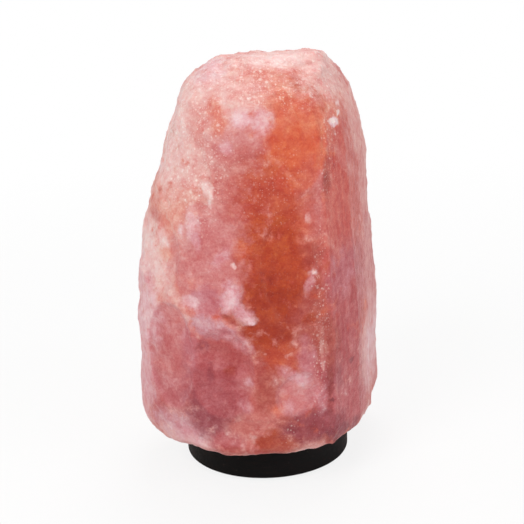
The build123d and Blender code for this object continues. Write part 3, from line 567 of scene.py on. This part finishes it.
# Patches of colour on the ground colours, in the order in which they are laid. Each has its place
# and its reach along X, Y and Z in millimetres, its tilt in the front view in degrees, its colour,
# how strong it is and how soft its edge is, as a share of its reach.
PATCHES = {
    "left_shoulder": ((-36, -38, 206), (26, 45, 42), 0, "petal", 0.9, 0.45),
    "left_flank": ((-45, -48, 168), (24, 45, 26), 0, "blush", 0.9, 0.5),
    "left_orange": ((-50, -42, 170), (18, 40, 13), 0, "peach", 0.7, 0.5),
    # Painted rim light: the next two patches pale the salt towards its left edge, where light wraps
    # round it.
    "left_upper_rim_light": ((-50, -30, 206), (16, 45, 30), 0, "pearl", 0.75, 0.6),
    "left_edge_rim_light": ((-67, -38, 135), (15, 45, 26), 0, "pearl", 0.9, 0.4),
    "left_waist": ((-35, -55, 138), (15, 40, 20), 0, "rose", 0.85, 0.5),
    # Painted rim light: pales the salt along its lower left edge.
    "left_low_rim_light": ((-74, -36, 86), (13, 45, 52), 0, "shell", 0.9, 0.4),
    "brow": ((-12, -42, 228), (32, 40, 14), 0, "petal", 0.85, 0.5),
    "crown": ((8, -14, 245), (44, 45, 8), 0, "petal", 0.9, 0.6),
    "crown_red": ((6, -27, 238), (12, 30, 4), 0, "peach", 0.7, 0.6),
    "brow_blush": ((-24, -44, 212), (12, 40, 13), 0, "blush", 0.75, 0.5),
    "upper_middle": ((-7, -53, 204), (20, 40, 14), 0, "rose", 0.8, 0.5),
    "upper_clay": ((-5, -53, 196), (10, 40, 9), 0, "clay", 0.5, 0.5),
    "middle": ((-22, -58, 150), (20, 40, 28), 0, "rose", 0.9, 0.4),
    "middle_red": ((-6, -57, 180), (19, 40, 20), 0, "clay", 0.85, 0.5),
    "orange_upper": ((22, -49, 206), (18, 45, 26), 6, "coral", 0.95, 0.3),
    "orange_top": ((13, -41, 222), (11, 45, 12), 0, "salmon", 0.95, 0.5),
    "orange_right": ((31, -40, 218), (9, 45, 9), 0, "salmon", 0.7, 0.5),
    "orange_small": ((-21, -45, 219), (4.5, 40, 10), 0, "salmon", 0.7, 0.5),
    "temple": ((45, -26, 216), (9, 40, 22), 0, "peach", 0.8, 0.5),
    "right_shoulder": ((51, -24, 184), (19, 45, 32), 0, "garnet", 0.9, 0.4),
    "crown_right": ((38, -22, 233), (16, 45, 12), 0, "petal", 0.8, 0.6),
    # Painted rim light: pales the salt at its upper right edge.
    "right_top_rim_light": ((60, 0, 206), (8, 45, 20), 0, "blush", 0.85, 0.5),
    "right_upper": ((50, -34, 152), (20, 45, 30), 0, "garnet", 0.95, 0.4),
    "arris_red": ((33, -52, 150), (10, 40, 42), 2, "garnet", 0.85, 0.5),
    "arris_dark": ((29, -57, 118), (4, 40, 30), 2, "brick", 0.7, 0.8),
    "right_middle": ((50, -39, 114), (18, 45, 28), 0, "dusk", 0.9, 0.4),
    "right_pink": ((46, -42, 126), (9, 45, 13), 0, "orchid", 0.5, 0.4),
    "right_low": ((44, -50, 72), (18, 45, 26), 0, "dusk", 0.9, 0.4),
    "right_low_dark": ((38, -57, 62), (6, 40, 18), 0, "wine", 0.6, 0.7),
    "right_foot": ((46, -44, 44), (24, 45, 15), 0, "dusk", 0.95, 0.3),
    # Painted rim light: the next two patches pale the salt along its right edge, where light wraps
    # round it.
    "right_edge_rim_light": ((69, -4, 96), (9, 45, 74), 0, "rose", 0.85, 0.5),
    "right_low_rim_light": ((70, -10, 64), (10, 45, 24), 0, "lilac", 0.8, 0.5),
    "deep_core": ((8, -57, 174), (20, 40, 20), 0, "terracotta", 0.95, 0.5),
    "deep_middle": ((8, -60, 138), (20, 40, 28), -4, "ember", 0.95, 0.4),
    "deep_low": ((5, -64, 110), (19, 40, 22), -14, "rust", 0.95, 0.4),
    "deep_tail": ((3, -66, 89), (13, 40, 12), -30, "rust", 0.95, 0.45),
    "core_right": ((27, -60, 102), (10, 40, 20), 0, "brick", 0.95, 0.5),
    "pink_middle": ((-31, -60, 117), (11, 40, 9), 0, "orchid", 0.9, 0.4),
    "lower_left": ((-52, -51, 82), (14, 40, 31), 0, "clay", 0.85, 0.3),
    "lower_left_top": ((-56, -50, 99), (11, 40, 15), 0, "clay", 0.85, 0.5),
    "lower_left_foot": ((-54, -53, 54), (14, 40, 14), 0, "dusk", 0.6, 0.5),
    "lower_middle": ((-26, -64, 76), (20, 40, 27), 0, "dusk", 0.9, 0.3),
    "lower_brick": ((-20, -65, 89), (12, 40, 9), 24, "brick", 0.8, 0.35),
    "lower_wine": ((-31, -64, 58), (15, 40, 18), 0, "wine", 0.9, 0.7),
    "brick_column": ((-2, -67, 64), (9, 40, 22), 0, "clay", 0.9, 0.5),
    "brick_heart": ((-1, -67, 66), (5, 40, 18), 0, "brick", 0.7, 0.7),
    "chin_shadow": ((13, -65, 82), (14, 40, 10), 30, "terracotta", 0.9, 0.45),
    "chin_left": ((4, -67, 67), (7, 40, 10), 20, "brick", 0.7, 0.5),
    "lower_right": ((20, -65, 60), (11, 40, 14), 0, "rose", 0.85, 0.4),
    "lower_right_side": ((29, -62, 60), (6, 40, 13), 0, "dusk", 0.65, 0.5),
    "arris_middle": ((28, -55, 141), (6, 40, 9), 0, "brick", 0.6, 0.6),
    "right_strip": ((23, -63, 81), (5, 40, 12), 0, "orchid", 0.8, 0.5),
    "foot_left": ((-52, -54, 42), (16, 40, 8), 0, "mauve", 0.85, 0.5),
    "foot_left_pale": ((-46, -58, 38), (13, 40, 6), -12, "shell", 0.7, 0.5),
    "foot_left_rim": ((-42, -58, 31), (14, 40, 5), -12, "lilac", 0.6, 0.5),
    "foot_wine_left": ((-31, -63, 47), (12, 40, 9), 0, "wine", 0.85, 0.5),
    "foot_middle": ((-6, -67, 44), (15, 40, 9), 0, "clay", 0.85, 0.5),
    "foot_dusk": ((-24, -65, 35), (10, 40, 5), 0, "dusk", 0.85, 0.5),
    "foot_orange": ((7, -67, 34), (14, 40, 8), 0, "rust", 0.85, 0.4),
    "foot_orange_up": ((13, -66, 47), (7, 40, 5), 20, "brick", 0.8, 0.5),
    "foot_right": ((28, -61, 41), (18, 40, 10), 0, "wine", 0.9, 0.35),
    "foot_right_edge": ((42, -50, 31), (13, 40, 6), 0, "plum", 0.7, 0.5),
    "foot_rim": ((-10, -67, 28), (40, 40, 3), 0, "brick", 0.5, 0.6),
    "band_left": ((-48, -55, 111), (13, 40, 8), 30, "blush", 0.75, 0.4),
    "band_middle": ((-28, -62, 103), (15, 40, 6.5), 14, "mauve", 0.9, 0.3),
    "band_bend": ((-14, -66, 94), (8, 40, 3.6), 34, "shell", 0.75, 0.6),
    # Painted rim light: pales the salt at its left edge.
    "left_middle_rim_light": ((-66, -36, 102), (9, 40, 15), 0, "lilac", 0.75, 0.5),
    "orange_side": ((28, -48, 180), (7, 40, 16), 0, "clay", 0.5, 0.5),
    "chin_edge": ((19, -65, 71), (11, 40, 3), 35, "shell", 0.7, 0.6),
    "vein_upper": ((13, -53, 192), (15, 40, 1.0), 52, "peach", 0.5, 0.9),
    "vein_right": ((33, -50, 172), (2.4, 40, 16), 0, "rose", 0.5, 0.9),
}
# The colours of the hollows and ledges end at their crisp edges, so the places are as in CUTS.
HOLLOWS = {
    "lower_left": ((-53, -50, 84), (14, 40, 32), 0, "orchid", 0.45, 0.05),
    "lower_middle": ((-24, -64, 76), (18, 40, 27), 0, "dusk", 0.5, 0.05),
    "chin": ((18, -65, 62), (12, 40, 14), 35, "shell", 0.25, 0.08),
    "orange_face": ((22, -50, 203), (17, 40, 28), 6, "coral", 0.35, 0.06),
}
# Small clouds and spots, which lie truer to their place.
CLOUDS = {
    "crown_cloud": ((12, -13, 245), (12, 12, 6), 0, "pearl", 0.9, 0.6),
    "crown_left": ((-26, -16, 241), (10, 16, 8), 0, "lilac", 0.8, 0.6),
    "brow_left": ((-20, -36, 230), (10, 30, 3.4), 12, "pearl", 0.4, 0.6),
    "brow_right": ((-5, -40, 229), (13, 30, 5), 0, "blush", 0.6, 0.6),
    "twin_left": ((-8, -49, 218), (4.5, 30, 4.5), 0, "lilac", 0.85, 0.6),
    "twin_right": ((3, -50, 216), (6, 30, 6.5), 20, "lilac", 0.75, 0.6),
    "fleck": ((-17, -52, 203), (2.8, 30, 3.4), 0, "lilac", 0.75, 0.7),
    "wedge": ((-29, -52, 180), (3.4, 30, 4), -20, "pearl", 0.85, 0.6),
    "wedge_tail": ((-26, -54, 174), (1.8, 30, 6), -12, "pearl", 0.75, 0.6),
    "waist_cloud": ((-37, -52, 161), (3.6, 30, 8), 5, "lilac", 0.7, 0.6),
    "waist_tail": ((-35, -55, 151), (2.2, 30, 4.6), 0, "shell", 0.7, 0.6),
    "waist_spot": ((-21, -59, 143), (3, 30, 8), 38, "shell", 0.6, 0.6),
    "waist_dot": ((-15, -61, 138), (1.4, 30, 1.4), 0, "pearl", 0.8, 0.5),
    "arc": ((-11, -60, 147), (5.5, 30, 5), 0, "coral", 0.5, 0.6),
    "strip": ((-44, -55, 128), (4, 30, 12), 0, "rose", 0.7, 0.3),
    "big_cloud": ((-18, -63, 121), (6.5, 30, 9), 18, "shell", 0.9, 0.4),
    "big_cloud_core": ((-18, -63, 119), (3.4, 30, 5.6), 0, "lilac", 0.95, 0.5),
    "big_cloud_foot": ((-11, -64, 111), (6.5, 30, 4.4), 38, "shell", 0.9, 0.4),
    "cloud_tip": ((-7, -65, 107), (4, 30, 2.4), 0, "lilac", 0.9, 0.4),
    "cloud_shadow": ((-19, -63, 108), (4.5, 30, 2), 35, "brick", 0.85, 0.4),
    "tip_shadow": ((-7, -65, 103), (4.5, 30, 1.6), 10, "rust", 0.8, 0.4),
    "left_cloud": ((-41, -57, 117), (5, 30, 3.2), 0, "lilac", 0.6, 0.5),
    "left_glow": ((-59, -38, 148), (5, 30, 7), 0, "pearl", 0.7, 0.7),
    "left_corner": ((-44, -49, 157), (1.8, 30, 3.4), 0, "lilac", 0.7, 0.5),
    "left_ember": ((-54, -46, 142), (4, 30, 3), 0, "peach", 0.7, 0.7),
    "right_spot": ((27, -54, 162), (1.4, 30, 3), 0, "petal", 0.7, 0.5),
    "smear": ((27, -58, 127), (2.0, 30, 7), 20, "shell", 0.6, 0.8),
    "smear_spot": ((29, -57, 132), (1.2, 30, 1.8), 0, "pearl", 0.7, 0.5),
    "ember_spot": ((26, -61, 106), (4, 30, 3), 0, "rust", 0.7, 0.6),
    "arris_spot": ((43, -32, 211), (2.6, 30, 2.7), 0, "lilac", 0.95, 0.3),
    "arris_core": ((42, -32, 212), (1.4, 30, 1.2), 30, "milk", 0.6, 0.5),
    "arris_fleck": ((46, -24, 219), (1.0, 30, 1.6), 0, "pearl", 0.85, 0.4),
    "arris_fleck_low": ((46, -24, 215), (0.9, 30, 1.4), 0, "pearl", 0.85, 0.4),
    "arris_glint": ((33, -60, 88), (1.0, 30, 5), 0, "petal", 0.7, 0.6),
    "arris_glint_low": ((33, -60, 77), (1.0, 30, 3), 0, "petal", 0.6, 0.6),
    "arris_glint_side": ((35.5, -59, 87), (0.8, 30, 4), 0, "petal", 0.5, 0.6),
    "dark_fissure": ((37, -57, 72), (1.5, 30, 26), 1, "maroon", 0.55, 0.8),
    "right_slant": ((52, -24, 184), (2.2, 30, 13), -35, "blush", 0.6, 0.8),
    "between_hollows": ((-42, -59, 92), (4, 30, 12), 0, "orchid", 0.7, 0.6),
    "dark_streak": ((38, -42, 180), (2.0, 30, 10), 0, "brick", 0.9, 0.6),
    "dark_dot": ((38, -58, 54), (1.5, 30, 1.5), 0, "plum", 0.8, 0.6),
    "dark_dot_right": ((50, -42, 73), (1.4, 30, 1.6), 0, "plum", 0.6, 0.6),
    "red_spot": ((-59, -33, 161), (3.3, 30, 3.2), 0, "clay", 0.7, 0.7),
    "hollow_dark": ((-34, -62, 91), (3.6, 30, 3.4), 0, "wine", 0.7, 0.6),
    "dark_a": ((-20, -66, 77), (2.8, 30, 3.2), 0, "rust", 0.6, 0.7),
    "dark_b": ((-31, -64, 76), (2.2, 30, 5), 0, "wine", 0.7, 0.6),
    "pale_a": ((-10, -67, 71), (2.4, 30, 2.4), 0, "shell", 0.7, 0.6),
    "pale_b": ((-12, -67, 57), (3.4, 30, 3.4), 0, "shell", 0.7, 0.6),
    "pale_low": ((12, -67, 55), (3.3, 30, 4.2), 0, "shell", 0.45, 0.6),
    "pale_low_right": ((31, -60, 57), (3.4, 30, 8), 0, "shell", 0.5, 0.6),
    "red_low_right": ((38, -56, 88), (5, 30, 14), 0, "brick", 0.75, 0.6),
}
# Where the salt is speckled with pale grains, partly its own pale crystals and partly painted glints:
# place, reach, tilt, strength and softness. Elsewhere only this share of the grains shows.
GLINT_GRAINS_ANYWHERE = 0.10
GLINT_GRAIN_PATCHES = {
    "crown": ((8, -20, 242), (70, 60, 22), 0, 0.9, 0.5),
    "left_shoulder": ((-36, -44, 196), (22, 40, 38), 0, 0.9, 0.6),
    "middle": ((4, -58, 180), (26, 40, 26), 0, 0.4, 0.6),
    "arris_upper": ((40, -42, 200), (5, 40, 30), 3, 0.75, 0.6),
    "arris_lower": ((32, -58, 106), (5, 40, 64), 2, 0.75, 0.6),
    "foot": ((13, -66, 39), (2.6, 40, 10), 20, 0.8, 0.8),
}
# Grains, partly pale crystals and partly painted glints: size of their cells in millimetres, the least
# random number that shows, brightness.
GLINT_GRAINS = ((3.4, 0.74, 0.52), (2.0, 0.50, 0.46), (1.2, 0.35, 0.38))
# The colour of a grain of brightness 1, the warm white of a painted glint.
GLINT_GRAIN_TINT = (1.0, 0.88, 0.82)
# Where no grains are wanted, the random numbers are this much lower. Grains come in over the fade,
# and thin out between these distances from the middle of their cells.
GLINT_GRAIN_CHANCE = 0.6
GLINT_GRAIN_FADE = 0.15
GLINT_GRAIN_EDGE = (0.42, 0.10)


def salt_rgb(name):
    """A colour of the salt that looks as it is listed once the gloss lies over it."""
    return tuple(max(part - GLOSS_WHITE, 0.0) for part in rgb(SALT[name])[:3]) + (1.0,)


def lay_patches(graph, place, colour, patches, wisps):
    """Lays soft-edged ovals of colour over what is below them, one after another."""
    for centre, reach, tilt, name, strength, softness in patches.values():
        share = graph.oval(place, centre, reach, tilt, softness, strength, wisps)
        colour = graph.mix(share, colour, salt_rgb(name))
    return colour


def ground_colour(graph, place, bent_place):
    """Rose salt with orange hearts, pale zones and small clouds, on all sides."""
    colour = salt_rgb("clay")
    for bent, shift, size, roughness, layers in GROUND.values():
        shifted = graph.vector("ADD", bent_place if bent else place, shift)
        value = graph.noise(shifted, size, GROUND_DETAIL, roughness)
        for name, (low, high, strength) in layers.items():
            colour = graph.mix(graph.ramp(value, low, high, 0.0, strength), colour, salt_rgb(name))
    return colour


def patterned(graph, place, colour, pattern):
    """The colour darkened and paled by a pattern, and the pattern's noise."""
    shape, (low, high), swing = pattern
    value = graph.noise(place, *shape)
    return graph.varied(colour, value, low, high, swing), value


def salt_streaks(graph, place, colour):
    """Upright streaks on the flat right faces."""
    across = graph.add("ShaderNodeSeparateXYZ", Vector=place).outputs["X"]
    streaked, _ = patterned(graph, graph.stretched(place, STREAK_STRETCH), colour, STREAK)
    return graph.mix(graph.ramp(across, *STREAK_FROM_MM), colour, streaked)


def salt_glint_grains(graph, place, amount, colour):
    """Bright grains of several sizes, partly pale crystals and partly painted glints, thickest where
    the grain patches lie.
    """
    for size, fewest, bright in GLINT_GRAINS:
        cells = graph.add("ShaderNodeTexVoronoi", Vector=place, Scale=1 / size)
        chance = graph.add("ShaderNodeSeparateXYZ", Vector=cells.outputs["Color"]).outputs["X"]
        level = graph.math("MULTIPLY", chance, graph.ramp(amount, 0.0, 1.0, GLINT_GRAIN_CHANCE, 1.0))
        picked = graph.ramp(level, fewest, fewest + GLINT_GRAIN_FADE)
        round_glint_grain = graph.ramp(cells.outputs["Distance"], *GLINT_GRAIN_EDGE)
        grain = graph.math("MULTIPLY", round_glint_grain, picked)
        # The painted glint's colour, screened over the salt.
        glint_colour = [bright * part for part in GLINT_GRAIN_TINT] + [1.0]
        colour = graph.mix(graph.math("MULTIPLY", grain, amount), colour, glint_colour, "SCREEN")
    return colour


def salt_material():
    material, graph = new_material("salt")
    place = graph.place_mm()
    soft = graph.warped(place, PATCH_WARPS)
    near = graph.warped(place, CLOUD_WARPS)
    wisps = graph.ramp(graph.noise(near, *WISP_NOISE), *MOST_NOISE, *WISP_DEPTHS, "LINEAR")

    colour = ground_colour(graph, place, soft)
    colour = lay_patches(graph, soft, colour, PATCHES, wisps)
    colour = lay_patches(graph, graph.warped(place, HOLLOW_WARPS), colour, HOLLOWS, 1.0)
    colour = lay_patches(graph, near, colour, CLOUDS, wisps)

    # Cloudiness inside the salt, then slanting fibres, crystals, mottling, streaks and its grain.
    colour, _ = patterned(graph, soft, colour, CLOUD)
    slanting = graph.add("ShaderNodeMapping", Vector=near, Rotation=FIBRE_TILT, Scale=FIBRE_SQUEEZE)
    colour, _ = patterned(graph, slanting, colour, FIBRE)
    for size, swing in FLAKES:
        cells = graph.add("ShaderNodeTexVoronoi", {"feature": "SMOOTH_F1"}, Vector=near,
                          Scale=1 / size, Smoothness=FLAKE_SMOOTHNESS)
        colour = graph.varied(colour, cells.outputs["Color"], *FLAKE_VALUES, swing)
    colour, mottle = patterned(graph, near, colour, MOTTLE)
    colour = salt_streaks(graph, near, colour)
    colour, _ = patterned(graph, place, colour, GRIT)
    # Pale grains, partly the salt's own crystals and partly painted glints.
    amount = GLINT_GRAINS_ANYWHERE
    for centre, reach, tilt, strength, softness in GLINT_GRAIN_PATCHES.values():
        share = graph.oval(near, centre, reach, tilt, softness, strength, wisps)
        amount = graph.math("MAXIMUM", amount, share)
    colour = salt_glint_grains(graph, place, amount, colour)

    fine = graph.math("MULTIPLY", graph.noise(place, *FINE_BUMPS), FINE_BUMP_SHARE)
    bumps = graph.math("ADD", graph.noise(place, *COARSE_BUMPS), fine)
    graph.surface({"subsurface_method": "RANDOM_WALK"},
                  Base_Color=colour,
                  Roughness=graph.ramp(mottle, *MOST_NOISE, 0.55, 0.36),
                  Specular_IOR_Level=0.32,
                  Normal=graph.bump(bumps, 0.7, 0.9),
                  Subsurface_Weight=0.22,
                  Subsurface_Radius=(1.0, 0.42, 0.30),
                  Subsurface_Scale=0.002,
                  Sheen_Weight=0.25,
                  Sheen_Roughness=0.45,
                  Sheen_Tint=(1.0, 0.80, 0.82, 1.0))
    return material


# ---- Other materials ----

WOOD_GRAIN_STRETCH = (14, 1, 1)
WOOD_SPECK_MM = 2.2
GLASS_IOR = 1.46


def wood_material():
    """Black stained wood: faint brown grain and satin lacquer."""
    material, graph = new_material("base_wood")
    place = graph.place_mm()
    grain = graph.noise(graph.stretched(place, WOOD_GRAIN_STRETCH), 1.6, 4.0, 0.6)
    colour = graph.mix(graph.ramp(grain, 0.45, 0.75), rgb("080707"), rgb("15100E"))
    blotch = graph.noise(place, 18.0, 3.0)
    colour = graph.mix(graph.ramp(blotch, 0.4, 0.7, 0.0, 0.6), colour, rgb("0C090A"))
    cells = graph.add("ShaderNodeTexVoronoi", Vector=place, Scale=1 / WOOD_SPECK_MM)
    speck = graph.math("MULTIPLY", graph.ramp(cells.outputs["Distance"], 0.22, 0.05),
                       graph.ramp(cells.outputs["Color"], 0.72, 0.95))
    colour = graph.mix(speck, colour, rgb("45403D"))
    pores = graph.noise(place, 0.8, 3.0, 0.65)
    graph.surface(Base_Color=colour,
                  Roughness=graph.ramp(grain, *MOST_NOISE, 0.42, 0.6),
                  Specular_IOR_Level=0.10,
                  Normal=graph.bump(graph.math("ADD", grain, pores), 0.2, 0.8))
    return material


def rubber_material():
    material, graph = new_material("rubber")
    dust = graph.noise(graph.place_mm(), 2.2, 4.0, 0.7)
    colour = graph.mix(graph.ramp(dust, 0.45, 0.75, 0.0, 0.6), rgb("1F1E1D"), rgb("3B3936"))
    graph.surface(Base_Color=colour,
                  Roughness=graph.ramp(dust, *MOST_NOISE, 0.75, 0.9),
                  Normal=graph.bump(dust, 0.08, 0.6))
    return material


def metal_material(name, base, worn, roughness, brush):
    """Metal with fine brushing along one direction and duller patches."""
    material, graph = new_material(name)
    place = graph.place_mm()
    scratch = graph.noise(graph.stretched(place, brush), 0.5, 3.0, 0.6)
    patina = graph.noise(place, 5.0, 4.0, 0.6)
    colour = graph.mix(graph.ramp(patina, 0.45, 0.72, 0.0, 0.8), rgb(base), rgb(worn))
    graph.surface(Base_Color=colour,
                  Metallic=1.0,
                  Roughness=graph.ramp(patina, *MOST_NOISE, roughness, roughness + 0.2),
                  Normal=graph.bump(scratch, 0.03, 0.5))
    return material


def plastic_material(name, base, soiled, roughness, specular=0.5):
    """Moulded plastic with a fine skin and faint yellowing."""
    material, graph = new_material(name)
    place = graph.place_mm()
    skin = graph.noise(place, 0.7, 3.0, 0.6)
    soil = graph.noise(place, 9.0, 4.0, 0.6)
    colour = graph.mix(graph.ramp(soil, 0.42, 0.72, 0.0, 0.8), rgb(base), rgb(soiled))
    graph.surface(Base_Color=colour,
                  Roughness=graph.ramp(soil, *MOST_NOISE, roughness, roughness + 0.15),
                  Specular_IOR_Level=specular,
                  Normal=graph.bump(skin, 0.03, 0.5))
    return material


def glass_material(name, tint, roughness):
    """Clear glass with faint waviness."""
    material, graph = new_material(name)
    wave = graph.noise(graph.place_mm(), 6.0, 2.0)
    graph.surface(Base_Color=rgb(tint),
                  Roughness=graph.ramp(wave, *MOST_NOISE, roughness, roughness + 0.03),
                  Transmission_Weight=1.0,
                  IOR=GLASS_IOR,
                  Normal=graph.bump(wave, 0.1, 0.4))
    return material


def dress_nodes():
    """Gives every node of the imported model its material, by the slot that the record names."""
    along_z = (1, 1, 12)
    along_x = (12, 1, 1)
    unbrushed = (1, 1, 1)
    finishes = {
        "base_wood": wood_material(),
        "rubber": rubber_material(),
        "zinc_steel": metal_material("zinc_steel", "B9BBBD", "8F9092", 0.28, along_z),
        "holder_body": plastic_material("holder_body", "E4DFD2", "D2C7AE", 0.38),
        "cover_plastic": plastic_material("cover_plastic", "E1DCCF", "CFC3AA", 0.42),
        "brass": metal_material("brass", "D2A75A", "9C7840", 0.24, along_x),
        "carrier": plastic_material("carrier", "8A5C3A", "6E452B", 0.5),
        "cap_metal": metal_material("cap_metal", "C9C6C0", "A29F99", 0.26, along_z),
        "black_glass": plastic_material("black_glass", "17171B", "26262C", 0.12, 0.6),
        "solder": metal_material("solder", "B4B4B2", "8C8C8B", 0.4, unbrushed),
        "bulb_glass": glass_material("bulb_glass", "FBFDFC", 0.02),
        "stem_glass": glass_material("stem_glass", "EEF6F4", 0.06),
        "tungsten": metal_material("tungsten", "6E6E72", "4A4A4E", 0.35, unbrushed),
    }
    slot_of = {part["node"]: part["material_slot"] for part in frame["record"]["subparts"]}
    for name, node in nodes.items():
        if slot_of[name] in finishes:
            for slot in node.material_slots:
                slot.material = finishes[slot_of[name]]


# ---- Scene ----

bpy.context.scene.view_settings.view_transform = "Standard"
add_camera()
add_world()
add_floor()
add_lamps()
add_crystal()
dress_nodes()
